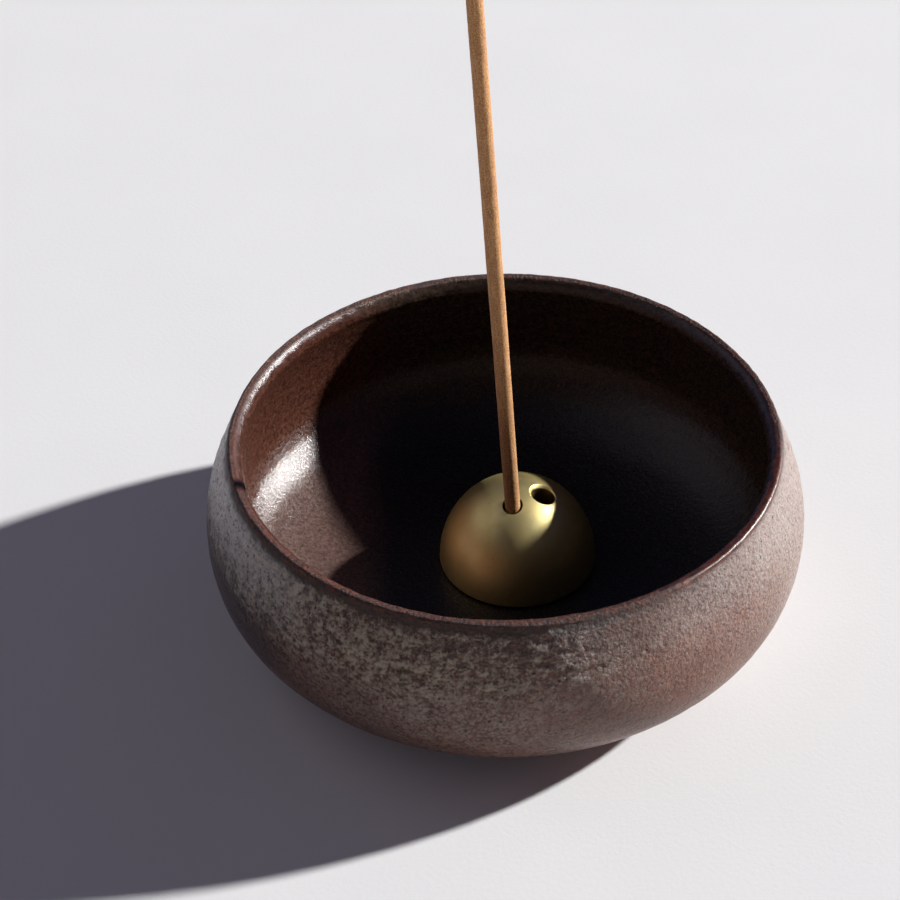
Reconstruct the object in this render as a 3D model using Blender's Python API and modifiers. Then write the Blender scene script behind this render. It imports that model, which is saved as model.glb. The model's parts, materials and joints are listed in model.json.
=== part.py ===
"""Incense burner: a closed-in stoneware bowl, a brass stick holder that stands loose on the bowl's
floor, and an incense stick pushed into the holder.

Units are metres, +Z is up. The origin is the centre of the bowl's foot, at the height of the table.
The holder's and the stick's origins lie on the lines along which they are lifted out.
"""

import math

import bmesh
import bpy
from mathutils import Matrix, Vector
from mathutils.geometry import interpolate_bezier

# Bowl, outside
BOWL_HEIGHT = 0.0400
BELLY_RADIUS = 0.0561
BELLY_HEIGHT = 0.0218  # height of the widest point
SHOULDER_INSET = 0.0049  # how far the outside of the lip stands in from the belly
FOOT_RADIUS = 0.0340
FOOT_WIDTH = 0.0045
FOOT_RECESS = 0.0020  # height of the underside above the table, inside the foot ring
FOOT_EDGE = 0.0003  # small flat on the foot ring's outer edge

# Bowl, wall
LIP_THICKNESS = 0.0024
LIP_ROUND = 0.0009  # height of the lip's rounded top
BELLY_WALL = 0.0042
FLOOR_THICKNESS = 0.0040  # above the recess

# Stick holder: a half ellipsoid with a flat underside
HOLDER_RADIUS = 0.0151
HOLDER_HEIGHT = 0.0169
HOLDER_EDGE = 0.0004  # small flat between its side and its underside
HOLDER_X = 0.0025  # where its axis stands on the bowl's floor
HOLDER_Y = 0.0042
FLOOR_MARGIN = 0.0040  # flat floor left round the holder

# Holes in the holder
STICK_HOLE_FROM_AXIS = 0.0041
STICK_HOLE_ANGLE = math.radians(-103.5)
STICK_HOLE_DEPTH = 0.0100
SPARE_HOLE_DIAMETER = 0.0044
SPARE_HOLE_FROM_AXIS = 0.0049
SPARE_HOLE_ANGLE = math.radians(-5.0)
SPARE_HOLE_DEPTH = 0.0100
COUNTERSINK = 0.0006  # width of the bevel round the spare hole's mouth

# Incense stick
STICK_DIAMETER = 0.0029
STICK_LENGTH = 0.1800
STICK_EDGE = 0.0003
STICK_LEAN_LEFT = math.radians(3.26)
STICK_LEAN_BACK = math.radians(2.0)

# Fits
STICK_CLEARANCE = 0.0004  # between the stick and its hole, on the radius
SEAT_GAP = 0.0003  # under the holder and under the stick

# Fineness
BOWL_STEPS = 80
HOLDER_STEPS = 56
STICK_SIDES = 24
HOLE_SIDES = 32
CURVE_POINTS = 9
LIP_POINTS = 8
DOME_POINTS = 14
SHARP_ANGLE = math.radians(35)
MERGE = 0.00001
THROUGH = 0.004  # how far a cutter stands out of the surface that it cuts

floor_height = FOOT_RECESS + FLOOR_THICKNESS
floor_radius = math.hypot(HOLDER_X, HOLDER_Y) + HOLDER_RADIUS + FLOOR_MARGIN
holder_base = Vector((HOLDER_X, HOLDER_Y, floor_height + SEAT_GAP))
stick_axis = Vector((-math.tan(STICK_LEAN_LEFT), math.tan(STICK_LEAN_BACK), 1.0)).normalized()


def clear_scene():
    for obj in list(bpy.data.objects):
        bpy.data.objects.remove(obj, do_unlink=True)


def new_collection(name):
    collection = bpy.data.collections.new(name)
    bpy.context.scene.collection.children.link(collection)
    return collection


def new_material(name, colour, roughness, metallic):
    material = bpy.data.materials.new(name)
    material.use_nodes = True
    shader = material.node_tree.nodes["Principled BSDF"]
    shader.inputs["Base Color"].default_value = (*colour, 1.0)
    shader.inputs["Roughness"].default_value = roughness
    shader.inputs["Metallic"].default_value = metallic
    return material


def new_object(name, shape, collection, material=None):
    """An object from a bmesh, which this frees."""
    mesh = bpy.data.meshes.new(name)
    shape.to_mesh(mesh)
    shape.free()
    obj = bpy.data.objects.new(name, mesh)
    collection.objects.link(obj)
    if material:
        mesh.materials.append(material)
    return obj


def shade_round(obj):
    obj.data.shade_smooth()
    obj.data.set_sharp_from_angle(angle=SHARP_ANGLE)


def turned(name, profile, steps, collection, material=None):
    """A solid of revolution about its Z axis, from (radius, height) points that start and end on the axis."""
    shape = bmesh.new()
    points = [shape.verts.new((radius, 0.0, height)) for radius, height in profile]
    for first, second in zip(points, points[1:]):
        shape.edges.new((first, second))
    obj = new_object(name, shape, collection, material)
    screw = obj.modifiers.new("turn", "SCREW")
    screw.steps = steps
    screw.render_steps = steps
    screw.use_merge_vertices = True
    screw.merge_threshold = MERGE
    screw.use_smooth_shade = True
    return obj


def curve(start, handle_a, handle_b, end):
    """Points along a Bezier curve, from start up to but not including end."""
    corners = [Vector((*point, 0.0)) for point in (start, handle_a, handle_b, end)]
    return [(p.x, p.y) for p in interpolate_bezier(*corners, CURVE_POINTS)][:-1]


def bowl_profile():
    """From the middle of the floor, up the inside, over the lip, down the outside and in under the foot."""
    lip_half = LIP_THICKNESS / 2
    lip_height = BOWL_HEIGHT - LIP_ROUND
    mouth = BELLY_RADIUS - SHOULDER_INSET
    inner_mouth = mouth - LIP_THICKNESS
    inner_belly = BELLY_RADIUS - BELLY_WALL
    shoulder = lip_height - BELLY_HEIGHT
    below = BELLY_HEIGHT - FOOT_RECESS
    foot_start = FOOT_RADIUS + 0.0030  # where the wall's curve runs out above the foot ring

    profile = [(0.0, floor_height)]
    profile += curve(
        (floor_radius, floor_height),
        (floor_radius + 0.55 * (inner_belly - floor_radius), floor_height),
        (inner_belly, BELLY_HEIGHT - 0.62 * (BELLY_HEIGHT - floor_height)),
        (inner_belly, BELLY_HEIGHT),
    )
    profile += curve(
        (inner_belly, BELLY_HEIGHT),
        (inner_belly, BELLY_HEIGHT + 0.42 * shoulder),
        (inner_mouth + 0.42 * (inner_belly - inner_mouth), lip_height - 0.30 * shoulder),
        (inner_mouth, lip_height),
    )
    for step in range(LIP_POINTS):
        angle = math.pi * (1 - step / LIP_POINTS)
        profile.append(
            (mouth - lip_half + lip_half * math.cos(angle), lip_height + LIP_ROUND * math.sin(angle))
        )
    profile += curve(
        (mouth, lip_height),
        (mouth + 0.42 * SHOULDER_INSET, lip_height - 0.30 * shoulder),
        (BELLY_RADIUS, BELLY_HEIGHT + 0.42 * shoulder),
        (BELLY_RADIUS, BELLY_HEIGHT),
    )
    profile += curve(
        (BELLY_RADIUS, BELLY_HEIGHT),
        (BELLY_RADIUS, BELLY_HEIGHT - 0.62 * below),
        (BELLY_RADIUS - 0.42 * (BELLY_RADIUS - foot_start), FOOT_RECESS + 0.0006),
        (foot_start, FOOT_RECESS),
    )
    profile += [
        (foot_start, FOOT_RECESS),
        (FOOT_RADIUS, FOOT_RECESS - FOOT_EDGE),
        (FOOT_RADIUS, FOOT_EDGE),
        (FOOT_RADIUS - FOOT_EDGE, 0.0),
        (FOOT_RADIUS - FOOT_WIDTH, 0.0),
        (FOOT_RADIUS - FOOT_WIDTH, FOOT_RECESS),
        (0.0, FOOT_RECESS),
    ]
    return profile


def make_bowl(collection):
    material = new_material("bowl_glaze", (0.085, 0.045, 0.036), 0.42, 0.15)
    bowl = turned("bowl", bowl_profile(), BOWL_STEPS, collection, material)
    shade_round(bowl)
    return bowl


def dome_height(from_axis):
    """Height of the holder's surface above its underside, at this distance from its axis."""
    return HOLDER_HEIGHT * math.sqrt(1 - (from_axis / HOLDER_RADIUS) ** 2)


def dome_normal(point):
    """Outward normal of the holder's surface at a point given from the middle of its underside."""
    side, up = HOLDER_RADIUS**2, HOLDER_HEIGHT**2
    return Vector((point.x / side, point.y / side, point.z / up)).normalized()


def hole_mouth(from_axis, angle):
    """Where a hole's axis meets the surface, from the middle of the holder's underside."""
    return Vector((from_axis * math.cos(angle), from_axis * math.sin(angle), dome_height(from_axis)))


def standing_at(origin, direction):
    """A frame with its Z axis along direction."""
    return Matrix.Translation(origin) @ direction.to_track_quat("Z", "Y").to_matrix().to_4x4()


def hole_cutter(name, radius, depth, mouth, direction, collection):
    shape = bmesh.new()
    bmesh.ops.create_cone(
        shape,
        cap_ends=True,
        segments=HOLE_SIDES,
        radius1=radius,
        radius2=radius,
        depth=depth + THROUGH,
        matrix=Matrix.Translation((0.0, 0.0, (THROUGH - depth) / 2)),
    )
    return place_cutter(new_object(name, shape, collection), mouth, direction)


def countersink_cutter(name, radius, width, mouth, direction, collection):
    """A 45 degree cone whose radius at the surface is the hole's plus the countersink's width."""
    shape = bmesh.new()
    bmesh.ops.create_cone(
        shape,
        cap_ends=True,
        segments=HOLE_SIDES,
        radius1=radius / 2,
        radius2=radius + width + THROUGH,
        depth=radius / 2 + width + THROUGH,
        matrix=Matrix.Translation((0.0, 0.0, (THROUGH - width - radius / 2) / 2)),
    )
    return place_cutter(new_object(name, shape, collection), mouth, direction)


def place_cutter(cutter, mouth, direction):
    cutter.matrix_world = standing_at(holder_base + mouth, direction)
    cutter.hide_render = True
    cutter.display_type = "WIRE"
    return cutter


def holder_profile():
    profile = [(0.0, HOLDER_HEIGHT)]
    lowest = math.asin(HOLDER_EDGE / HOLDER_HEIGHT)
    for step in range(1, DOME_POINTS + 1):
        angle = math.pi / 2 + (lowest - math.pi / 2) * step / DOME_POINTS
        profile.append((HOLDER_RADIUS * math.cos(angle), HOLDER_HEIGHT * math.sin(angle)))
    profile.append((HOLDER_RADIUS - HOLDER_EDGE, 0.0))
    profile.append((0.0, 0.0))
    return profile


def make_holder(collection, cutters):
    material = new_material("holder_brass", (0.72, 0.53, 0.24), 0.34, 1.0)
    holder = turned("incense_holder", holder_profile(), HOLDER_STEPS, collection, material)
    holder.location = holder_base

    stick_mouth = hole_mouth(STICK_HOLE_FROM_AXIS, STICK_HOLE_ANGLE)
    spare_mouth = hole_mouth(SPARE_HOLE_FROM_AXIS, SPARE_HOLE_ANGLE)
    stick_hole_radius = STICK_DIAMETER / 2 + STICK_CLEARANCE
    spare_hole_radius = SPARE_HOLE_DIAMETER / 2
    upright = Vector((0.0, 0.0, 1.0))
    cuts = [
        hole_cutter(
            "stick_hole", stick_hole_radius, STICK_HOLE_DEPTH, stick_mouth, stick_axis, cutters
        ),
        hole_cutter(
            "spare_hole", spare_hole_radius, SPARE_HOLE_DEPTH, spare_mouth, upright, cutters
        ),
        countersink_cutter(
            "spare_hole_bevel",
            spare_hole_radius,
            COUNTERSINK,
            spare_mouth,
            dome_normal(spare_mouth),
            cutters,
        ),
    ]
    for cutter in cuts:
        cut = holder.modifiers.new(cutter.name, "BOOLEAN")
        cut.operation = "DIFFERENCE"
        cut.solver = "EXACT"
        cut.object = cutter
    shade_round(holder)
    return holder


def make_stick(collection):
    """The stick's origin is at its lower end, and its Z axis lies along its hole."""
    material = new_material("stick_incense", (0.42, 0.25, 0.13), 0.85, 0.0)
    shape = bmesh.new()
    bmesh.ops.create_cone(
        shape,
        cap_ends=True,
        segments=STICK_SIDES,
        radius1=STICK_DIAMETER / 2,
        radius2=STICK_DIAMETER / 2,
        depth=STICK_LENGTH,
        matrix=Matrix.Translation((0.0, 0.0, STICK_LENGTH / 2)),
    )
    stick = new_object("incense_stick", shape, collection, material)
    mouth = holder_base + hole_mouth(STICK_HOLE_FROM_AXIS, STICK_HOLE_ANGLE)
    stick.matrix_world = standing_at(mouth - stick_axis * (STICK_HOLE_DEPTH - SEAT_GAP), stick_axis)
    edge = stick.modifiers.new("worn_ends", "BEVEL")
    edge.width = STICK_EDGE
    edge.segments = 1
    edge.limit_method = "ANGLE"
    edge.angle_limit = math.radians(60)
    shade_round(stick)
    return stick


def main():
    clear_scene()
    parts = new_collection("incense_burner")
    cutters = new_collection("cutters")
    make_bowl(parts)
    make_holder(parts, cutters)
    make_stick(parts)


main()
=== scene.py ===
"""The looks of the incense burner: a glazed stoneware bowl, a satin brass stick holder and an incense stick,
on a pale sheet under a low key light, a weak wide fill and a soft sky."""

import json
import math
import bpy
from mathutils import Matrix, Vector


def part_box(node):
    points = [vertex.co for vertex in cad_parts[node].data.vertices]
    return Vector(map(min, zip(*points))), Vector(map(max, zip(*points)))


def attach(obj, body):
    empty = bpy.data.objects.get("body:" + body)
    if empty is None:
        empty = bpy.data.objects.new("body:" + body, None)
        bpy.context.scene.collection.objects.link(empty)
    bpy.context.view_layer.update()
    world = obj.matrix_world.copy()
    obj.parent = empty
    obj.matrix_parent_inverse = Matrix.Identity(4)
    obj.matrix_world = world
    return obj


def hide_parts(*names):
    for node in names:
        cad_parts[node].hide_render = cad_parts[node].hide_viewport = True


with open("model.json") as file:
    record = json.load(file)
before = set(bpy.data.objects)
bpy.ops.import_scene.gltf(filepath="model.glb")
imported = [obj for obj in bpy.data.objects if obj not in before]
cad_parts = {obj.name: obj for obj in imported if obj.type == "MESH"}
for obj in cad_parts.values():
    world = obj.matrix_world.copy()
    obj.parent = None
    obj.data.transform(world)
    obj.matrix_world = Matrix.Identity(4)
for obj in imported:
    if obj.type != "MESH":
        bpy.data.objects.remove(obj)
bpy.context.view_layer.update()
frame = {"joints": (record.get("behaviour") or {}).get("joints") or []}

from types import SimpleNamespace

import bpy
import numpy as np
from mathutils import Matrix, Vector, noise

MM = 0.001
OUTLINE_POINTS = 200  # points of each curve before it is spaced out evenly
MERGE = 0.00001

# Bowl. Its radius and height come from the frame; these are the parts of its section.
SHOULDER_INSET = 0.0049
LIP_THICKNESS = 0.0024
LIP_ROUND = 0.0009
LIP_OUTER_ROUND = 0.0007
LIP_INNER_ROUND = 0.0027
BELLY_HEIGHT = 0.0218
BELLY_WALL = 0.0042
FLOOR_HEIGHT = 0.0060
FLOOR_RADIUS = 0.0240
FOOT_RADIUS = 0.0340
FOOT_WIDTH = 0.0045
FOOT_RECESS = 0.0020
FOOT_ROUND = 0.0005
BOWL_STEPS = 440

# The bowl's finishes, its painted shade and its painted sheen: where each is centred, in degrees
# anticlockwise from +X seen from above
FRONT_LEFT = -135
FRONT_RIGHT = -62
RIGHT = -10
LEFT = 168
PALE_SIDE = 5
SHADED_SIDE = -72
SHEEN_SIDE = -29

# The bowl's relief: how high each feature stands, and the size of one of them
WOBBLE = 0.14 * MM
OUTER_RING = 0.030 * MM
INNER_RING = 0.045 * MM
RING_SPACING = 3.4 * MM
FOLD_SIZE = 2.6 * MM
PEEL_SIZE = 1.6 * MM
LIP_GRAIN = 0.085 * MM
LIP_GRAIN_SIZE = 2.2 * MM
BEAD = 0.15 * MM
BEAD_SIZE = 2.3 * MM

# Holes in the holder: from its axis, angle, radius and depth
STICK_HOLE = (0.0041, math.radians(-103.5), 0.00185, 0.0100)
SPARE_HOLE = (0.0049, math.radians(-5.0), 0.0022, 0.0100)
HOLE_SIDES = 64
HOLE_TIP = 0.3 * MM
COUNTERSINK = 0.0008
CUTTER_ABOVE = 4 * MM  # how far a cutter stands out of the surface that it cuts
HOLDER_STEPS = 192
HOLDER_EDGE = 0.0004
HOLE_BEVEL = 0.10 * MM
SLIVER = 0.002 * MM

# Stick
STICK_RADIUS = 0.00145
STICK_SIDES = 40
STICK_RING_SPACING = 0.0006
STICK_EDGE = 0.25 * MM

# Camera, about the point that it looks at
VIEW_TARGET = Vector((-0.00995, -0.0028, 0.0385))
VIEW_AZIMUTH = math.radians(1.6)
VIEW_ELEVATION = math.radians(39.5)
VIEW_ROLL = math.radians(-1.3)
VIEW_DISTANCE = 0.4597
LENS = 100.0
SENSOR = 36.0

# Light
KEY_AZIMUTH = math.radians(18.2)
KEY_ELEVATION = math.radians(24.3)
KEY_DISTANCE = 12.0
KEY_SIZE = 0.50
KEY_POWER = 2980.0
FILL_AZIMUTH = math.radians(170)
FILL_ELEVATION = math.radians(42)
FILL_DISTANCE = 1.4
FILL_SIZE = 1.5
FILL_POWER = 1.7
LIGHT_AIM = Vector((0.0, 0.0, 0.02))
SKY_HIGH = 0.050  # strength overhead, and from SKY_FADE's second height up
SKY_LOW = 0.48  # strength at the horizon, up to its first height
SKY_FADE = (0.08, 0.52)
SKY_TURN = (0.1, -0.9)  # along Y, from the colour behind to the colour in front
SHEET_RADIUS = 4.0

# Colours, linear
KEY_COLOUR = (1.0, 0.99, 0.975)
FILL_COLOUR = (0.97, 0.91, 0.92)
SKY_BACK = (0.48, 0.49, 1.0)
SKY_FRONT = (0.76, 0.63, 0.58)
BROWN_THIN = ((0.013, 0.005, 0.004), (0.105, 0.036, 0.020))  # on the bowl's cold side, and on its warm side
BROWN_THICK = ((0.050, 0.021, 0.016), (0.240, 0.102, 0.064))
# Paler, greyer glaze on the far right, partly a painted sheen where the key light glances off it
PALE_THIN = (0.290, 0.210, 0.175)
PALE_THICK = (0.400, 0.310, 0.270)
ORANGE_SPECK = (0.44, 0.160, 0.065)
SILVER = ((0.33, 0.285, 0.258), (0.25, 0.192, 0.160))
OLIVE = (0.40, 0.335, 0.235)
# Painted shade under the lip
UNDER_LIP_SHADE = (0.022, 0.011, 0.004)
LUMP_SHADE = (0.022, 0.014, 0.009)
# Painted highlight on the lit side of each lump
LUMP_HIGHLIGHT = (0.52, 0.460, 0.370)
# Pale crystals, painted paler to stand in for sheen
FROST_AND_SHEEN = (0.68, 0.635, 0.610)
PIT = (0.020, 0.012, 0.010)
GLINT = (0.62, 0.50, 0.38)
LIP_GLINT = (0.70, 0.58, 0.46)
INNER_SPECK = (0.18, 0.105, 0.080)
RUDDY_WALL = ((0.026, 0.009, 0.006), (0.100, 0.036, 0.022))  # in the troughs of the grain, and on its peaks
RUDDY_POOL = ((0.060, 0.033, 0.028), (0.150, 0.092, 0.078))
# Painted shade inside the bowl: brownish on the wall with a painted bounce, near black and bluish low down
WALL_SHADE_AND_BOUNCE = ((0.014, 0.008, 0.006), (0.070, 0.043, 0.028))
LOW_SHADE = ((0.009, 0.009, 0.011), (0.026, 0.023, 0.024))
RUST = ((0.010, 0.003, 0.002), (0.165, 0.040, 0.017))
RUST_PATCH = (0.026, 0.010, 0.007)
CLAY = ((0.16, 0.085, 0.055), (0.26, 0.15, 0.10))
BRASS = ((1.00, 0.850, 0.400), (0.94, 0.770, 0.330))
BRASS_SPOT = (0.42, 0.28, 0.12)
BORE_SHADE = (0.10, 0.058, 0.024)
INCENSE = ((0.300, 0.130, 0.048), (0.660, 0.350, 0.145))
INCENSE_STREAK = (0.690, 0.400, 0.190)
INCENSE_PATCH = (0.340, 0.165, 0.070)
PAPER = ((0.815, 0.815, 0.820), (0.830, 0.830, 0.832))

# The finishes, painted light and painted shade that the bowl's mesh carries as attributes
BOWL_FINISHES = (
    "lip", "inside", "bloom_and_reflection", "warm", "olive", "frost_and_sheen", "lumpy", "pale", "ruddy_where_lit", "under_lip", "sheen",
    "bare", "ridge", "beads", "low",
)

# Sizes of the materials' grain
GRIT_SIZE = 0.45 * MM
ORANGE_SPECK_SIZE = 0.6 * MM
GRAIN_SIZE = 0.85 * MM
DOT_SIZE = 0.70 * MM
LUMP_SIZE = 1.9 * MM
CLUMP_SIZE = 2.6 * MM
PIT_SPACING = 1.9 * MM
GLINT_SPACING = 3.4 * MM
CLOUD_SIZE = 10.0 * MM
# Painted light: each lump is drawn lit on this side and shaded on the other
LUMP_LIGHT = (-0.25 * MM, -0.10 * MM, 0.45 * MM)  # towards the side of each lump where the crystals gather
GLAZE_IOR = 1.50


# ---------------------------------------------------------------- mesh helpers

def smoothstep(low, high, value):
    t = np.clip((value - low) / (high - low), 0.0, 1.0)
    return t * t * (3 - 2 * t)


def sector(angle, towards, low, high):
    """1 where the bowl faces this way (degrees), 0 where it faces away."""
    return smoothstep(low, high, np.cos(angle - math.radians(towards)))


def bezier(start, handle_a, handle_b, end):
    t = np.linspace(0.0, 1.0, OUTLINE_POINTS)[:, None]
    start, handle_a, handle_b, end = (np.array(p) for p in (start, handle_a, handle_b, end))
    return (1 - t) ** 3 * start + 3 * (1 - t) ** 2 * t * handle_a + 3 * (1 - t) * t**2 * handle_b + t**3 * end


def arc(centre, radius_x, radius_z, start, end):
    angle = np.linspace(start, end, OUTLINE_POINTS)
    return np.stack([centre[0] + radius_x * np.cos(angle), centre[1] + radius_z * np.sin(angle)], 1)


def line(start, end):
    t = np.linspace(0.0, 1.0, OUTLINE_POINTS)[:, None]
    return (1 - t) * np.array(start) + t * np.array(end)


def spaced(points, spacing):
    """The same outline with points about this far apart, without its last point."""
    along = np.concatenate([[0.0], np.cumsum(np.linalg.norm(np.diff(points, axis=0), axis=1))])
    count = max(2, int(round(along[-1] / spacing)))
    wanted = np.linspace(0.0, along[-1], count + 1)[:-1]
    return np.stack([np.interp(wanted, along, points[:, 0]), np.interp(wanted, along, points[:, 1])], 1)


def new_object(name, mesh):
    obj = bpy.data.objects.new(name, mesh)
    bpy.context.scene.collection.objects.link(obj)
    return obj


def turned(name, profile, steps):
    """A solid of revolution about Z from (radius, height) points that start and end on the axis."""
    mesh = bpy.data.meshes.new(name + "_profile")
    mesh.from_pydata([(r, 0.0, z) for r, z in profile], [(i, i + 1) for i in range(len(profile) - 1)], [])
    obj = new_object(name, mesh)
    screw = obj.modifiers.new("turn", "SCREW")
    screw.steps = screw.render_steps = steps
    screw.use_merge_vertices = True
    screw.merge_threshold = MERGE
    screw.use_smooth_shade = True
    return obj


def apply_modifiers(obj):
    bpy.context.view_layer.update()
    mesh = bpy.data.meshes.new_from_object(obj.evaluated_get(bpy.context.evaluated_depsgraph_get()))
    old = obj.data
    obj.modifiers.clear()
    obj.data = mesh
    mesh.name = obj.name
    bpy.data.meshes.remove(old)
    return obj


def read_vectors(collection, attribute):
    values = np.zeros(len(collection) * 3)
    collection.foreach_get(attribute, values)
    return values.reshape(-1, 3)


def store(mesh, name, values):
    attribute = mesh.attributes.new(name, "FLOAT", "POINT")
    attribute.data.foreach_set("value", values.astype(np.float32))


def fractal(points, size, octaves=3, seed=0.0):
    """Perlin noise of about -1 to 1 at each point, with features of about this size."""
    shift = Vector((seed, seed * 1.7, -seed))
    scaled = points / size
    return np.array([noise.fractal(Vector(p) + shift, 1.0, 2.0, octaves) for p in scaled])


# ---------------------------------------------------------------- bowl

def bowl_profile(belly, height):
    mouth = belly - SHOULDER_INSET
    inner_mouth = mouth - LIP_THICKNESS - 0.4 * MM
    inner_belly = belly - BELLY_WALL
    lip_height = height - LIP_ROUND
    shoulder = lip_height - BELLY_HEIGHT
    foot_start = FOOT_RADIUS + 0.0030
    foot_inner = FOOT_RADIUS - FOOT_WIDTH
    lip_crest = mouth - LIP_OUTER_ROUND
    corner = 0.5 * math.pi
    sections = [
        (line((0.0, FLOOR_HEIGHT), (FLOOR_RADIUS, FLOOR_HEIGHT)), 1.4 * MM),
        (bezier(
            (FLOOR_RADIUS, FLOOR_HEIGHT),
            (FLOOR_RADIUS + 0.55 * (inner_belly - FLOOR_RADIUS), FLOOR_HEIGHT),
            (inner_belly, BELLY_HEIGHT - 0.62 * (BELLY_HEIGHT - FLOOR_HEIGHT)),
            (inner_belly, BELLY_HEIGHT),
        ), 0.95 * MM),
        (bezier(
            (inner_belly, BELLY_HEIGHT),
            (inner_belly, BELLY_HEIGHT + 0.42 * shoulder),
            (inner_mouth + 0.42 * (inner_belly - inner_mouth), lip_height - 0.30 * shoulder),
            (inner_mouth, height - LIP_INNER_ROUND),
        ), 0.8 * MM),
        (arc(
            (lip_crest, height - LIP_INNER_ROUND), lip_crest - inner_mouth, LIP_INNER_ROUND, math.pi, corner,
        ), 0.24 * MM),
        (arc((lip_crest, lip_height), LIP_OUTER_ROUND, LIP_ROUND, corner, 0.0), 0.22 * MM),
        (bezier(
            (mouth, lip_height),
            (mouth + 0.42 * SHOULDER_INSET, lip_height - 0.30 * shoulder),
            (belly, BELLY_HEIGHT + 0.42 * shoulder),
            (belly, BELLY_HEIGHT),
        ), 0.6 * MM),
        (bezier(
            (belly, BELLY_HEIGHT),
            (belly, BELLY_HEIGHT - 0.62 * (BELLY_HEIGHT - FOOT_RECESS)),
            (belly - 0.42 * (belly - foot_start), FOOT_RECESS + 0.6 * MM),
            (foot_start, FOOT_RECESS),
        ), 0.8 * MM),
        (line((foot_start, FOOT_RECESS), (FOOT_RADIUS, FOOT_RECESS - FOOT_ROUND)), 1.0 * MM),
        (line((FOOT_RADIUS, FOOT_RECESS - FOOT_ROUND), (FOOT_RADIUS, FOOT_ROUND)), 0.5 * MM),
        (arc((FOOT_RADIUS - FOOT_ROUND, FOOT_ROUND), FOOT_ROUND, FOOT_ROUND, 0.0, -corner), 0.25 * MM),
        (line((FOOT_RADIUS - FOOT_ROUND, 0.0), (foot_inner + FOOT_ROUND, 0.0)), 1.2 * MM),
        (arc((foot_inner + FOOT_ROUND, FOOT_ROUND), FOOT_ROUND, FOOT_ROUND, -corner, -2 * corner), 0.25 * MM),
        (line((foot_inner, FOOT_ROUND), (foot_inner, FOOT_RECESS)), 0.5 * MM),
        (line((foot_inner, FOOT_RECESS), (0.0, FOOT_RECESS)), 2.5 * MM),
    ]
    points = np.concatenate([spaced(outline, spacing) for outline, spacing in sections])
    return np.concatenate([points, [[0.0, FOOT_RECESS]]])


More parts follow.
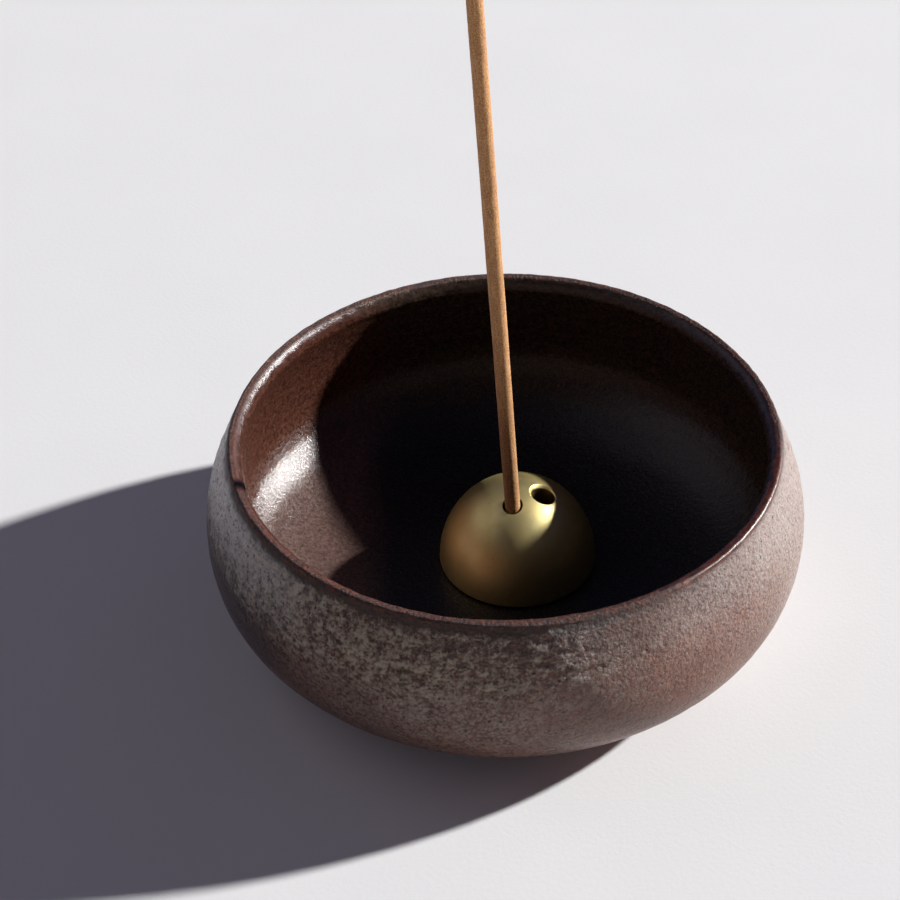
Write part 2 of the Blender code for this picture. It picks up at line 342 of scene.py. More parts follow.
def bowl_finishes(places, normals, belly, height):
    """Where each part, finish, painted light and painted shade of the bowl lies, as shares at its vertices,
    and what they are drawn by.
    """
    radius = np.hypot(places[:, 0], places[:, 1])
    angle = np.arctan2(places[:, 1], places[:, 0])
    side = np.stack([np.cos(angle), np.sin(angle)], 1)
    outward = (normals[:, :2] * side).sum(1)
    z = places[:, 2].copy()
    broad = fractal(places, 22 * MM, 3, 4.0)
    patches = fractal(places, 7 * MM, 4, 9.0)
    ragged = fractal(places, LIP_GRAIN_SIZE, 3, 7.0)

    # Parts of the bowl, and the sides of it that the finishes go by
    crest = belly - SHOULDER_INSET - 0.7 * MM
    from_crest = np.hypot(np.maximum(radius - crest, 1.1 * (crest - radius)), (height - z) * 0.75)
    lip = 1 - smoothstep(0.75 * MM, 1.35 * MM, from_crest + 0.16 * MM * ragged)
    outside = smoothstep(-0.05, 0.1, outward) * (radius > 0.8 * FOOT_RADIUS)
    underside = 1 - smoothstep(FOOT_RECESS, FOOT_RECESS + 1.2 * MM, z)
    inside = 1 - np.maximum(outside, underside)
    above_foot = smoothstep(1.5 * MM, 3.5 * MM, z + 0.6 * MM * ragged)
    below_lip = smoothstep(0.2 * MM, 2.0 * MM, height - z - 0.9 * MM + 0.6 * MM * ragged)
    shoulder = smoothstep(0.52 * height, 0.80 * height, z) * outside * below_lip
    beads = smoothstep(height - 4.4 * MM, height - 2.4 * MM, z) * (1 - lip) * (radius < crest)
    front_left = sector(angle, FRONT_LEFT, 0.1, 1.0)
    front_right = sector(angle, FRONT_RIGHT, -0.1, 0.9)
    right = sector(angle, RIGHT, -0.1, 1.0)
    sheen = sector(angle, SHEEN_SIDE, 0.80, 0.98)
    # Painted shade a few millimetres under the lip at the front right, which takes away the crystals and the
    # warm tone there
    shaded = sector(angle, SHADED_SIDE, 0.70, 1.0)
    shaded = shaded * (1 - smoothstep(4.0 * MM, 9.0 * MM, height - z + 2.5 * MM * broad))
    left_low = smoothstep(0.2, 0.9, -np.cos(angle))
    left_low = left_low * (1 - smoothstep(0.52 * height, 0.80 * height, z + 2.0 * MM * broad))

    # Bloom and reflection: the silvery crystals, from the shoulder down, and lower down at the front right,
    # where the pale speckle is partly a painted reflection of the bright floor
    bloom_from = height * (0.62 - 0.48 * front_right - 0.20 * right) + 3.0 * MM * broad + 1.5 * MM * patches
    bloom_and_reflection = smoothstep(bloom_from - 3.0 * MM, bloom_from + 6.0 * MM, z)
    bloom_and_reflection = bloom_and_reflection * (0.62 + 0.38 * front_left - 0.16 * right) + 0.16 * patches * (bloom_and_reflection > 0.02)
    bloom_and_reflection = bloom_and_reflection * (0.55 + 0.45 * smoothstep(0.25 * height, 0.62 * height, z + 2.0 * MM * broad))
    bloom_and_reflection = np.clip(bloom_and_reflection, 0.0, 1.0) * (0.25 + 0.75 * below_lip)
    bloom_and_reflection = bloom_and_reflection * (1 - 0.35 * right * (1 - smoothstep(0.6, 0.85, z / height)))
    bloom_and_reflection = bloom_and_reflection * (1 - 0.50 * shaded)
    bloom_and_reflection = bloom_and_reflection * (1 - 0.55 * left_low)

    # Frost and sheen: pale crystals under the lip at the left and faintly at the right, painted paler there
    # to stand in for the sheen that the glaze catches
    frost_and_sheen = sector(angle, LEFT, 0.35, 1.0) * smoothstep(0.62 * height, 0.88 * height, z + 1.5 * MM * broad)
    frost_and_sheen += 0.24 * sheen * smoothstep(0.62 * height, 0.88 * height, z + 2.0 * MM * broad)
    frost_and_sheen = np.clip(frost_and_sheen, 0.0, 1.0) * outside * (1 - (1 - below_lip) * (1 - sheen))

    warm = np.clip(0.05 + 0.55 * right + 0.55 * front_right + 0.30 * broad, 0.0, 1.0)
    warm = warm * (1 - 0.45 * shaded)
    # Paler, greyer glaze on the far right, partly a painted sheen where the key light glances off it
    pale = smoothstep(0.55, 1.0, np.cos(angle - math.radians(PALE_SIDE)) + 0.10 * broad) * outside
    # Painted light inside: red-brown where the key light falls on the left, near black in the shade elsewhere
    ruddy_where_lit = smoothstep(0.37 * belly, 0.54 * belly, -places[:, 0] + 2.5 * MM * broad) * inside
    olive = np.clip(front_left * smoothstep(0.45 * height, 0.8 * height, z) + 0.25 * patches, 0.0, 1.0)
    return SimpleNamespace(
        angle=angle, side=side, z=z, broad=broad, ragged=ragged,
        lip=lip, outside=outside, underside=underside, inside=inside,
        above_foot=above_foot, below_lip=below_lip, shoulder=shoulder, beads=beads,
        front_left=front_left, front_right=front_right, sheen=sheen,
        bloom_and_reflection=bloom_and_reflection, frost_and_sheen=frost_and_sheen, warm=warm, pale=pale, ruddy_where_lit=ruddy_where_lit, olive=olive,
    )


def bowl_relief(places, at, ridges):
    """How far the surface stands out: throwing rings, and the glaze's ridges, peel, lip grain and beads."""
    rings = np.sin(2 * math.pi * at.z / RING_SPACING + at.angle + 2.2 * at.broad)
    ring_size = (OUTER_RING * at.outside + INNER_RING * at.inside) * smoothstep(FOOT_RECESS, 8 * MM, at.z)
    relief = rings * (ring_size * at.below_lip)
    relief += ridges * at.shoulder * MM * (0.03 + 0.16 * at.front_left + 0.03 * at.front_right)
    peel = fractal(places, PEEL_SIZE, 3, 6.0)
    peel_size = 0.030 * at.outside + 0.016 * at.inside + 0.045 * at.bloom_and_reflection * at.outside
    relief += peel * MM * peel_size * (1 - at.underside)
    relief += at.lip * (1 - at.underside) * LIP_GRAIN * at.ragged
    relief += at.beads * BEAD * fractal(places, BEAD_SIZE, 1, 3.0)
    return relief


def make_bowl():
    low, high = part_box("bowl")
    belly, height = high.x, high.z
    bowl = apply_modifiers(turned("glazed_bowl", bowl_profile(belly, height), BOWL_STEPS))
    mesh = bowl.data
    places = read_vectors(mesh.vertices, "co")
    normals = read_vectors(mesh.vertex_normals, "vector")
    at = bowl_finishes(places, normals, belly, height)

    around = np.column_stack([at.side, at.z / (30 * MM)])
    wobble = WOBBLE * fractal(around, 1.1, 2, 2.0) * smoothstep(0.0, 0.2 * belly, at.z)
    folds = fractal(np.column_stack([at.side * belly * 0.42, at.z]), FOLD_SIZE, 3, 1.0)
    ridges = 1 - np.clip(np.abs(folds) * 3.6, 0.0, 1.6) + 0.4 * fractal(places, 1.9 * MM, 2, 11.0)
    places += normals * bowl_relief(places, at, ridges)[:, None]
    places[:, :2] += at.side * wobble[:, None]
    places[:, 2] = np.maximum(places[:, 2], 0.0)
    mesh.vertices.foreach_set("co", places.ravel())
    mesh.update()

    lumpy = at.shoulder * (0.15 + 0.85 * at.front_left) + 0.18 * at.bloom_and_reflection * at.outside
    for name, values in (
        ("lip", at.lip * (1 - at.underside)),
        ("inside", at.inside),
        ("bloom_and_reflection", at.bloom_and_reflection * at.outside),
        ("warm", at.warm),
        ("olive", at.olive),
        ("frost_and_sheen", at.frost_and_sheen),
        ("lumpy", np.clip(lumpy, 0.0, 1.0)),
        ("pale", at.pale),
        ("ruddy_where_lit", at.ruddy_where_lit),
        # Painted shade in the band just under the lip, lighter where the lip is glossy at the right front
        ("under_lip", (1 - at.below_lip) * at.outside * (1 - 0.8 * at.sheen)),
        ("sheen", at.sheen),
        ("bare", 1 - np.maximum(at.above_foot, at.inside)),
        ("ridge", ridges * at.shoulder * (0.35 + 0.65 * at.front_left)),
        ("beads", at.beads),
        ("low", at.inside * (1 - smoothstep(9 * MM, 15 * MM, at.z))),
    ):
        store(mesh, name, values)
    mesh.shade_smooth()
    mesh.materials.clear()
    mesh.materials.append(glaze_material())
    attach(bowl, "bowl")
    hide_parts("bowl")
    return bowl


# ---------------------------------------------------------------- stick holder

def hole_cutter(name, outline, mouth, direction):
    cutter = turned(name, outline, HOLE_SIDES)
    cutter.matrix_world = Matrix.Translation(mouth) @ direction.to_track_quat("Z", "Y").to_matrix().to_4x4()
    cutter.hide_render = True
    return cutter


def make_holder(stick_axis):
    """The half-egg with its two drilled holes, the spare one countersunk."""
    low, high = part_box("incense_holder")
    radius = (high.x - low.x) / 2
    height = high.z - low.z
    base = Vector(((low.x + high.x) / 2, (low.y + high.y) / 2, low.z))
    flank = arc((0.0, 0.0), radius, height, 0.5 * math.pi, math.asin(HOLDER_EDGE / height))
    edge = arc((radius - HOLDER_EDGE, HOLDER_EDGE), HOLDER_EDGE, HOLDER_EDGE, 0.0, -0.5 * math.pi)
    under = line((radius - HOLDER_EDGE, 0.0), (0.0, 0.0))
    profile = np.concatenate([
        spaced(flank, 0.4 * MM), spaced(edge, 0.12 * MM), spaced(under, 2 * MM), [[0.0, 0.0]],
    ])
    holder = turned("brass_holder", profile, HOLDER_STEPS)
    holder.location = base

    cutters, holes = [], []
    for name, hole, axis in (
        ("stick_hole", STICK_HOLE, stick_axis),
        ("spare_hole", SPARE_HOLE, Vector((0, 0, 1))),
    ):
        from_axis, angle, hole_radius, depth = hole
        x, y = from_axis * math.cos(angle), from_axis * math.sin(angle)
        z = height * math.sqrt(1 - (from_axis / radius) ** 2)
        mouth = base + Vector((x, y, z))
        holes.append((Vector((x, y, z)), axis, hole_radius))
        outline = [(0.0, CUTTER_ABOVE), (hole_radius, CUTTER_ABOVE), (hole_radius, -depth + HOLE_TIP),
                   (hole_radius - HOLE_TIP, -depth), (0.0, -depth - 2 * HOLE_TIP)]
        cutters.append(hole_cutter(name, outline, mouth, axis))
        if name == "spare_hole":
            width = hole_radius + COUNTERSINK
            normal = Vector((x / radius**2, y / radius**2, z / height**2)).normalized()
            cone = [(0.0, CUTTER_ABOVE), (width + CUTTER_ABOVE, CUTTER_ABOVE), (width, 0.0),
                    (0.5 * MM, -width + 0.5 * MM), (0.0, -width + 0.5 * MM)]
            cutters.append(hole_cutter("countersink", cone, mouth, normal))
    for cutter in cutters:
        cut = holder.modifiers.new(cutter.name, "BOOLEAN")
        cut.operation = "DIFFERENCE"
        cut.solver = "EXACT"
        cut.object = cutter
    bevel = holder.modifiers.new("soft_edges", "BEVEL")
    bevel.width = HOLE_BEVEL
    bevel.segments = 2
    bevel.limit_method = "ANGLE"
    bevel.angle_limit = math.radians(28)
    weld = holder.modifiers.new("no_slivers", "WELD")
    weld.merge_threshold = SLIVER
    apply_modifiers(holder)
    for cutter in cutters:
        bpy.data.objects.remove(cutter)
    holder.data.shade_smooth()
    holder.data.set_sharp_from_angle(angle=math.radians(50))
    holder.data.materials.clear()
    holder.data.materials.append(brass_material(holes))
    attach(holder, "holder")
    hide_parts("incense_holder")
    return holder


# ---------------------------------------------------------------- stick

def make_stick(axis):
    """The stick, made upright about its middle and laid along its axis in the middle of its box."""
    low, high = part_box("incense_stick")
    middle = (low + high) / 2
    lean = math.sqrt(1 - axis.z**2)
    length = ((high.z - low.z) - 2 * STICK_RADIUS * lean) / axis.z
    half = length / 2
    edge = STICK_EDGE
    profile = np.concatenate([
        spaced(line((0.0, half), (STICK_RADIUS - edge, half)), 0.3 * MM),
        spaced(arc((STICK_RADIUS - edge, half - edge), edge, edge, 0.5 * math.pi, 0.0), 0.13 * MM),
        spaced(line((STICK_RADIUS, half - edge), (STICK_RADIUS, edge - half)), STICK_RING_SPACING),
        spaced(arc((STICK_RADIUS - edge, edge - half), edge, edge, 0.0, -0.5 * math.pi), 0.13 * MM),
        spaced(line((STICK_RADIUS - edge, -half), (0.0, -half)), 0.3 * MM),
        [[0.0, -half]],
    ])
    stick = apply_modifiers(turned("pressed_stick", profile, STICK_SIDES))
    mesh = stick.data
    places = read_vectors(mesh.vertices, "co")
    normals = read_vectors(mesh.vertex_normals, "vector")
    slow = fractal(places * np.array([1.0, 1.0, 0.25]), 3.0 * MM, 2, 5.0)
    grain = fractal(places, 0.7 * MM, 3, 8.0)
    ends = smoothstep(half - 1.2 * MM, half, np.abs(places[:, 2]))
    relief = 0.035 * MM * slow + 0.022 * MM * grain * (1 + 3 * ends)
    places += normals * relief[:, None]
    mesh.vertices.foreach_set("co", places.ravel())
    mesh.update()
    mesh.shade_smooth()
    mesh.materials.clear()
    mesh.materials.append(stick_material())
    stick.matrix_world = Matrix.Translation(middle) @ axis.to_track_quat("Z", "Y").to_matrix().to_4x4()
    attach(stick, "stick")
    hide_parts("incense_stick")
    return stick


# ---------------------------------------------------------------- material helpers

class Shader:
    """A material's node tree, built by short calls. Each call returns the new node's main output."""

    def __init__(self, name):
        self.material = bpy.data.materials.new(name)
        self.material.use_nodes = True
        self.tree = self.material.node_tree
        self.surface = self.tree.nodes["Principled BSDF"]
        self.place = self.node("ShaderNodeTexCoord").outputs["Object"]

    def node(self, kind, **settings):
        node = self.tree.nodes.new(kind)
        for key, value in settings.items():
            setattr(node, key, value)
        return node

    def put(self, socket, value):
        if isinstance(value, bpy.types.NodeSocket):
            self.tree.links.new(value, socket)
        elif isinstance(value, tuple) and len(value) == 3 and socket.type == "RGBA":
            socket.default_value = (*value, 1.0)
        else:
            socket.default_value = value

    def set(self, **values):
        for key, value in values.items():
            self.put(self.surface.inputs[key.replace("_", " ")], value)

    def noise(self, size, detail=3.0, roughness=0.55, place=None):
        """Noise of about 0.3 to 0.7 with features of this size in metres."""
        node = self.node("ShaderNodeTexNoise")
        self.put(node.inputs["Vector"], place or self.place)
        self.put(node.inputs["Scale"], 1.0 / size)
        self.put(node.inputs["Detail"], detail)
        self.put(node.inputs["Roughness"], roughness)
        return node.outputs["Fac"]

    def cells(self, size, place=None):
        """The distance to the nearest of points scattered about this far apart, as a share of size."""
        node = self.node("ShaderNodeTexVoronoi")
        self.put(node.inputs["Vector"], place or self.place)
        self.put(node.inputs["Scale"], 1.0 / size)
        return node.outputs["Distance"]

    def warped(self, size):
        """The place pushed about by noise, so that what is drawn there is ragged."""
        shift = self.node("ShaderNodeTexNoise")
        self.put(shift.inputs["Vector"], self.place)
        self.put(shift.inputs["Scale"], 1.0 / size)
        push = self.node("ShaderNodeVectorMath", operation="MULTIPLY_ADD")
        self.put(push.inputs[0], shift.outputs["Color"])
        push.inputs[1].default_value = (0.6 * size,) * 3
        self.put(push.inputs[2], self.place)
        return push.outputs[0]

    def moved(self, shift):
        """The place shifted by this many metres."""
        push = self.node("ShaderNodeVectorMath", operation="ADD")
        self.put(push.inputs[0], self.place)
        push.inputs[1].default_value = shift
        return push.outputs[0]

    def math(self, operation, a, b=0.0, clamp=False):
        node = self.node("ShaderNodeMath", operation=operation, use_clamp=clamp)
        self.put(node.inputs[0], a)
        self.put(node.inputs[1], b)
        return node.outputs[0]

    def ramp(self, value, low, high, to_low=0.0, to_high=1.0):
        node = self.node("ShaderNodeMapRange", interpolation_type="SMOOTHSTEP")
        items = {"Value": value, "From Min": low, "From Max": high, "To Min": to_low, "To Max": to_high}
        for key, item in items.items():
            self.put(node.inputs[key], item)
        return node.outputs["Result"]

    def mix(self, share, a, b):
        node = self.node("ShaderNodeMix", data_type="RGBA", clamp_factor=True)
        colours = [s for s in node.inputs if s.type == "RGBA"]
        self.put(node.inputs[0], share)
        self.put(colours[0], a)
        self.put(colours[1], b)
        return [s for s in node.outputs if s.type == "RGBA"][0]

    def blend(self, share, a, b):
        node = self.node("ShaderNodeMix", data_type="FLOAT", clamp_factor=True)
        floats = [s for s in node.inputs if s.type == "VALUE"]
        for socket, value in zip(floats, (share, a, b)):
            self.put(socket, value)
        return node.outputs[0]

    def attribute(self, name):
        return self.node("ShaderNodeAttribute", attribute_name=name).outputs["Fac"]

    def bump(self, height, distance, strength=1.0, under=None):
        node = self.node("ShaderNodeBump")
        self.put(node.inputs["Strength"], strength)
        self.put(node.inputs["Distance"], distance)
        self.put(node.inputs["Height"], height)
        if under:
            self.put(node.inputs["Normal"], under)
        return node.outputs["Normal"]


# ---------------------------------------------------------------- materials

def glaze_fields(s):
    """The bowl's finishes and the patterns of the glaze, which its colour, gloss and relief are mixed by."""
    f = SimpleNamespace(**{name: s.attribute(name) for name in BOWL_FINISHES})
    f.grit = s.noise(GRIT_SIZE, 2.0, 0.6)
    f.grain = s.noise(GRAIN_SIZE, 5.0, 0.78)
    f.clumps = s.noise(CLUMP_SIZE, 3.0, 0.6)
    f.cloud = s.noise(CLOUD_SIZE, 3.0, 0.6)
    f.dots = s.cells(DOT_SIZE, s.warped(0.5 * MM))

    # Lumps: painted light on the upper side of each, with more crystals drawn there, and painted shade in the
    # hollow below it
    f.lumps = s.noise(LUMP_SIZE, 3.0, 0.6)
    above = s.noise(LUMP_SIZE, 3.0, 0.6, s.moved(LUMP_LIGHT))
    f.slope = s.math("MULTIPLY", s.math("SUBTRACT", f.lumps, above), f.lumpy)

    # Silvery crystals, thicker where the glaze pooled, with more on the painted lit side of each lump, and
    # partly a painted reflection at the front right
    speckle = s.math("MULTIPLY", s.math("SUBTRACT", f.grain, 0.5), 2.6)
    speckle = s.math("ADD", speckle, s.math("MULTIPLY", s.math("SUBTRACT", 0.48, f.dots), 1.1))
    clumping = s.math("MULTIPLY", s.math("SUBTRACT", f.clumps, 0.5), 1.2)
    amount = s.math("ADD", s.math("MULTIPLY", f.bloom_and_reflection, 0.95), clumping)
    amount = s.math("ADD", amount, s.math("MULTIPLY", f.ridge, 0.45))
    amount = s.math("ADD", amount, s.math("MULTIPLY", f.slope, 3.0))
    crystals = s.ramp(s.math("ADD", speckle, amount), 0.15, 1.85)
    crystals = s.math("MULTIPLY", crystals, s.ramp(f.bloom_and_reflection, 0.0, 0.30))
    f.crystals = s.math("MULTIPLY", crystals, s.math("SUBTRACT", 1.0, s.math("MAXIMUM", f.lip, f.bare)))

    pits = s.ramp(s.cells(PIT_SPACING, s.warped(0.8 * MM)), 0.20, 0.10)
    pits = s.math("MULTIPLY", pits, s.ramp(f.clumps, 0.46, 0.54))
    f.pits = s.math("MULTIPLY", pits, s.ramp(f.bloom_and_reflection, 0.1, 0.5))
    f.glints = s.ramp(s.cells(GLINT_SPACING), 0.050, 0.028)
    return f


def outer_colour(s, f):
    """Brown glaze under silvery crystals, then the marks on top of them: painted shade under the lip and
    below the lumps, painted highlights on the lumps, pale crystals with a painted sheen, pits and painted
    glints.
    """
    thin = s.mix(f.pale, s.mix(f.warm, *BROWN_THIN), PALE_THIN)
    thick = s.mix(f.pale, s.mix(f.warm, *BROWN_THICK), PALE_THICK)
    brown = s.mix(s.ramp(f.grain, 0.30, 0.70), thin, thick)
    brown = s.mix(s.ramp(f.cloud, 0.40, 0.70, 0.0, 0.45), brown, thin)
    specks = s.ramp(s.noise(ORANGE_SPECK_SIZE, 2.0, 0.5), 0.59, 0.72)
    brown = s.mix(s.math("MULTIPLY", specks, s.blend(f.warm, 0.12, 0.60)), brown, ORANGE_SPECK)
    silver = s.mix(s.ramp(f.cloud, 0.38, 0.62), *SILVER)
    silver = s.mix(s.math("MULTIPLY", f.olive, 0.7), silver, OLIVE)
    colour = s.mix(s.math("MULTIPLY", f.crystals, 0.85), brown, silver)
    for share, mark in (
        # Painted shade under the lip
        (s.math("MULTIPLY", f.under_lip, 0.92), UNDER_LIP_SHADE),
        # Painted shade below each lump and a painted highlight on its top
        (s.ramp(f.slope, -0.015, -0.085, 0.0, 0.60), LUMP_SHADE),
        (s.ramp(f.slope, 0.030, 0.110, 0.0, 0.28), LUMP_HIGHLIGHT),
        (s.math("MULTIPLY", f.frost_and_sheen, s.ramp(f.grain, 0.27, 0.57)), FROST_AND_SHEEN),
        (s.math("MULTIPLY", f.pits, 0.85), PIT),
        (s.math("MULTIPLY", f.glints, 0.7), GLINT),
    ):
        colour = s.mix(share, colour, mark)
    return colour


def inner_colour(s, f):
    """Painted light and shade: red-brown on the left where the key light falls, near black in the shade
    elsewhere with a painted brown bounce on the wall, each with its own colour low down near the floor.
    """
    peaks = s.ramp(f.grain, 0.32, 0.68)
    ruddy_where_lit = s.mix(f.low, s.mix(peaks, *RUDDY_WALL), s.mix(peaks, *RUDDY_POOL))
    ruddy_where_lit = s.mix(s.ramp(f.grit, 0.60, 0.72, 0.0, 0.4), ruddy_where_lit, INNER_SPECK)
    peaks = s.ramp(f.grain, 0.36, 0.64)
    dark = s.mix(f.low, s.mix(peaks, *WALL_SHADE_AND_BOUNCE), s.mix(peaks, *LOW_SHADE))
    return s.mix(f.ruddy_where_lit, dark, ruddy_where_lit)


def lip_colour(s, f):
    rust = s.mix(s.ramp(f.grain, 0.34, 0.66), *RUST)
    rust = s.mix(s.ramp(f.clumps, 0.40, 0.66, 0.0, 0.6), rust, RUST_PATCH)
    return s.mix(f.glints, rust, LIP_GLINT)


def glaze_roughness(s, f):
    roughness = s.blend(f.crystals, s.ramp(f.grain, 0.3, 0.7, 0.22, 0.36), 0.34)
    roughness = s.blend(f.under_lip, roughness, 0.44)
    roughness = s.blend(f.inside, roughness, s.ramp(f.grit, 0.42, 0.58, 0.15, 0.32))
    roughness = s.blend(f.beads, roughness, 0.27)
    roughness = s.blend(f.lip, roughness, s.blend(f.sheen, 0.60, 0.29))
    return s.blend(f.bare, roughness, 0.85)


def glaze_bump(s, f):
    """Grain, lumps and pits: weak inside, strongest on the lip, but not where the lip is glossy."""
    depth = s.math("SUBTRACT", 1.6, s.math("MULTIPLY", f.inside, 1.32))
    depth = s.math("ADD", depth, s.math("MULTIPLY", f.lip, 0.9))
    smooth_lip = s.math("MULTIPLY", s.math("MULTIPLY", f.sheen, f.lip), 0.92)
    depth = s.math("MULTIPLY", depth, s.math("SUBTRACT", 1.0, smooth_lip))
    height = s.math("SUBTRACT", s.math("MULTIPLY", f.grain, 1.3), s.math("MULTIPLY", f.dots, 0.45))
    height = s.math("ADD", height, s.math("MULTIPLY", f.lumps, s.math("MULTIPLY", f.lumpy, 1.8)))
    height = s.math("MULTIPLY", s.math("SUBTRACT", height, s.math("MULTIPLY", f.pits, 0.6)), depth)
    return s.bump(height, 0.30 * MM, 0.9)


def glaze_material():
    """Iron glaze: red-brown where thin, silvery where thick on the shoulder, glossy inside and painted dark
    where the inside is in shade, with painted light and shade on the lumps and under the lip.
    """
    s = Shader("iron_glaze")
    f = glaze_fields(s)
    colour = s.mix(f.inside, outer_colour(s, f), inner_colour(s, f))
    colour = s.mix(s.math("MULTIPLY", f.lip, 0.95), colour, lip_colour(s, f))
    colour = s.mix(f.bare, colour, s.mix(s.ramp(f.grit, 0.35, 0.65), *CLAY))
    s.set(Base_Color=colour, Roughness=glaze_roughness(s, f), Normal=glaze_bump(s, f))
    s.surface.inputs["IOR"].default_value = GLAZE_IOR
    return s.material


def brass_material(holes):
    """Satin turned brass: fine lathe rings round its axis, a slight cloudy tarnish, and painted shade inside
    the holes.
    """
    s = Shader("satin_brass")
    split = s.node("ShaderNodeSeparateXYZ")
    s.put(split.inputs[0], s.place)
    squares = [s.math("POWER", split.outputs[axis], 2.0) for axis in (0, 1)]
    radius = s.math("SQRT", s.math("ADD", *squares))
    rings_at = s.node("ShaderNodeCombineXYZ")
    s.put(rings_at.inputs[0], radius)
    s.put(rings_at.inputs[1], split.outputs[2])
    rings = s.noise(0.09 * MM, 3.0, 0.7, rings_at.outputs[0])
    cloud = s.noise(4.0 * MM, 4.0, 0.6)
    spots = s.noise(0.8 * MM, 3.0, 0.6)
    grain = s.noise(0.16 * MM, 2.0, 0.6)
    colour = s.mix(s.ramp(cloud, 0.35, 0.68), *BRASS)
    colour = s.mix(s.ramp(spots, 0.64, 0.76, 0.0, 0.30), colour, BRASS_SPOT)
    for mouth, axis, hole_radius in holes:
        from_mouth = s.node("ShaderNodeVectorMath", operation="SUBTRACT")
        s.put(from_mouth.inputs[0], s.place)
        from_mouth.inputs[1].default_value = mouth
        across = s.node("ShaderNodeVectorMath", operation="CROSS_PRODUCT")
        s.put(across.inputs[0], from_mouth.outputs[0])
        across.inputs[1].default_value = axis
        from_axis = s.node("ShaderNodeVectorMath", operation="LENGTH")
        s.put(from_axis.inputs[0], across.outputs[0])
        # Painted shade down inside each hole
        bore_shade = s.ramp(from_axis.outputs["Value"], hole_radius + 0.16 * MM, hole_radius + 0.04 * MM)
        colour = s.mix(s.math("MULTIPLY", bore_shade, 0.9), colour, BORE_SHADE)
    roughness = s.math("ADD", s.ramp(cloud, 0.3, 0.7, 0.40, 0.46), s.math("MULTIPLY", rings, 0.07))
    relief = s.bump(rings, 0.006 * MM, 0.6)
    relief = s.bump(grain, 0.006 * MM, 0.6, relief)
    relief = s.bump(spots, 0.012 * MM, 0.5, relief)
    s.set(Base_Color=colour, Roughness=roughness, Normal=relief)
    s.surface.inputs["Metallic"].default_value = 1.0
    return s.material


def stick_material():
    """Dry pressed incense: sandy grain, paler raised grains and dark pits, faint streaks from extrusion."""
    s = Shader("pressed_incense")
    stretch = s.node("ShaderNodeMapping")
    s.put(stretch.inputs["Vector"], s.place)
    stretch.inputs["Scale"].default_value = (1.0, 1.0, 0.12)
    grain = s.noise(0.28 * MM, 4.0, 0.7)
    streaks = s.noise(0.5 * MM, 3.0, 0.6, stretch.outputs[0])
    patches = s.noise(5.0 * MM, 3.0, 0.6)
    colour = s.mix(s.ramp(grain, 0.36, 0.64), *INCENSE)
    colour = s.mix(s.ramp(streaks, 0.45, 0.68, 0.0, 0.5), colour, INCENSE_STREAK)
    colour = s.mix(s.ramp(patches, 0.4, 0.7, 0.0, 0.35), colour, INCENSE_PATCH)
    relief = s.bump(grain, 0.09 * MM, 0.8)
    relief = s.bump(streaks, 0.05 * MM, 0.6, relief)
    s.set(Base_Color=colour, Roughness=s.ramp(grain, 0.3, 0.7, 0.92, 0.78), Normal=relief)
    return s.material


def paper_material():
    """Matt paper with a faint tooth."""
    s = Shader("pale_paper")
    fibres = s.noise(0.9 * MM, 5.0, 0.65)
    clouds = s.noise(35 * MM, 3.0, 0.5)
    colour = s.mix(s.ramp(clouds, 0.3, 0.7), *PAPER)
    s.set(Base_Color=colour, Normal=s.bump(fibres, 0.06 * MM, 0.5))
    s.surface.inputs["Roughness"].default_value = 0.9
    return s.material


# ---------------------------------------------------------------- set

def make_floor():
    bpy.ops.mesh.primitive_circle_add(
        vertices=96, radius=SHEET_RADIUS, fill_type="NGON", location=(0.0, 0.0, 0.0),
    )
    floor = bpy.context.object
    floor.name = "pale_floor"
    floor.data.materials.append(paper_material())


def away(azimuth, elevation, distance):
    flat = math.cos(elevation) * distance
    return Vector((math.cos(azimuth) * flat, math.sin(azimuth) * flat, math.sin(elevation) * distance))


def area_light(name, place, aim, size, power, colour):
    light = bpy.data.lights.new(name, "AREA")
    light.shape = "DISK"
    light.size = size
    light.energy = power
    light.color = colour
    obj = new_object(name, light)
    obj.location = place
    obj.rotation_euler = (aim - place).to_track_quat("-Z", "Y").to_euler()
    return obj


def make_lights():
    key_place = LIGHT_AIM + away(KEY_AZIMUTH, KEY_ELEVATION, KEY_DISTANCE)
    area_light("key", key_place, LIGHT_AIM, KEY_SIZE, KEY_POWER, KEY_COLOUR)
    fill_place = LIGHT_AIM + away(FILL_AZIMUTH, FILL_ELEVATION, FILL_DISTANCE)
    area_light("fill", fill_place, LIGHT_AIM, FILL_SIZE, FILL_POWER, FILL_COLOUR)


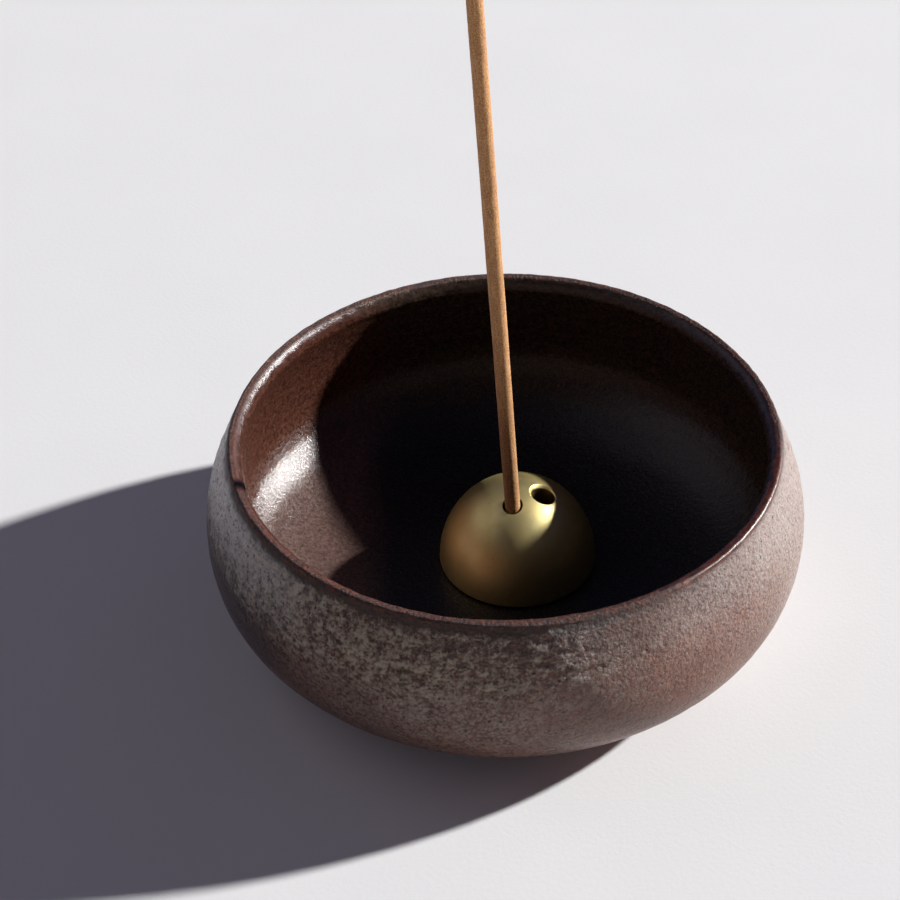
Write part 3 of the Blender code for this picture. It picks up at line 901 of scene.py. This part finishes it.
def make_sky():
    """A faint sky, brighter near the horizon, warmer in front (-Y) and more violet behind."""
    world = bpy.data.worlds.new("soft_sky")
    world.use_nodes = True
    nodes, links = world.node_tree.nodes, world.node_tree.links
    background = nodes["Background"]
    direction = nodes.new("ShaderNodeTexCoord")
    split = nodes.new("ShaderNodeSeparateXYZ")
    fade = nodes.new("ShaderNodeMapRange")
    fade.interpolation_type = "SMOOTHSTEP"
    for key, value in zip(("From Min", "From Max", "To Min", "To Max"), (*SKY_FADE, SKY_LOW, SKY_HIGH)):
        fade.inputs[key].default_value = value
    links.new(direction.outputs["Generated"], split.inputs[0])
    links.new(split.outputs[2], fade.inputs["Value"])
    links.new(fade.outputs["Result"], background.inputs["Strength"])
    front = nodes.new("ShaderNodeMapRange")
    for key, value in zip(("From Min", "From Max"), SKY_TURN):
        front.inputs[key].default_value = value
    tint = nodes.new("ShaderNodeMix")
    tint.data_type = "RGBA"
    colours = [socket for socket in tint.inputs if socket.type == "RGBA"]
    colours[0].default_value = (*SKY_BACK, 1.0)
    colours[1].default_value = (*SKY_FRONT, 1.0)
    links.new(split.outputs[1], front.inputs["Value"])
    links.new(front.outputs["Result"], tint.inputs[0])
    links.new([socket for socket in tint.outputs if socket.type == "RGBA"][0], background.inputs["Color"])
    bpy.context.scene.world = world


def make_camera():
    camera = new_object("camera", bpy.data.cameras.new("camera"))
    camera.data.lens = LENS
    camera.data.sensor_width = SENSOR
    camera.data.clip_start = 0.01
    camera.data.clip_end = 20.0
    back = away(VIEW_AZIMUTH - 0.5 * math.pi, VIEW_ELEVATION, VIEW_DISTANCE)
    turn = (-back).to_track_quat("-Z", "Y") @ Matrix.Rotation(VIEW_ROLL, 3, "Z").to_quaternion()
    camera.location = VIEW_TARGET + back
    camera.rotation_euler = turn.to_euler()
    bpy.context.scene.camera = camera


stick_joint = next(joint for joint in frame["joints"] if joint["name"] == "stick_pull")
stick_axis = Vector(stick_joint["axis"]).normalized()
make_camera()
make_bowl()
make_holder(stick_axis)
make_stick(stick_axis)
make_floor()
make_lights()
make_sky()
bpy.context.scene.view_settings.view_transform = "Standard"
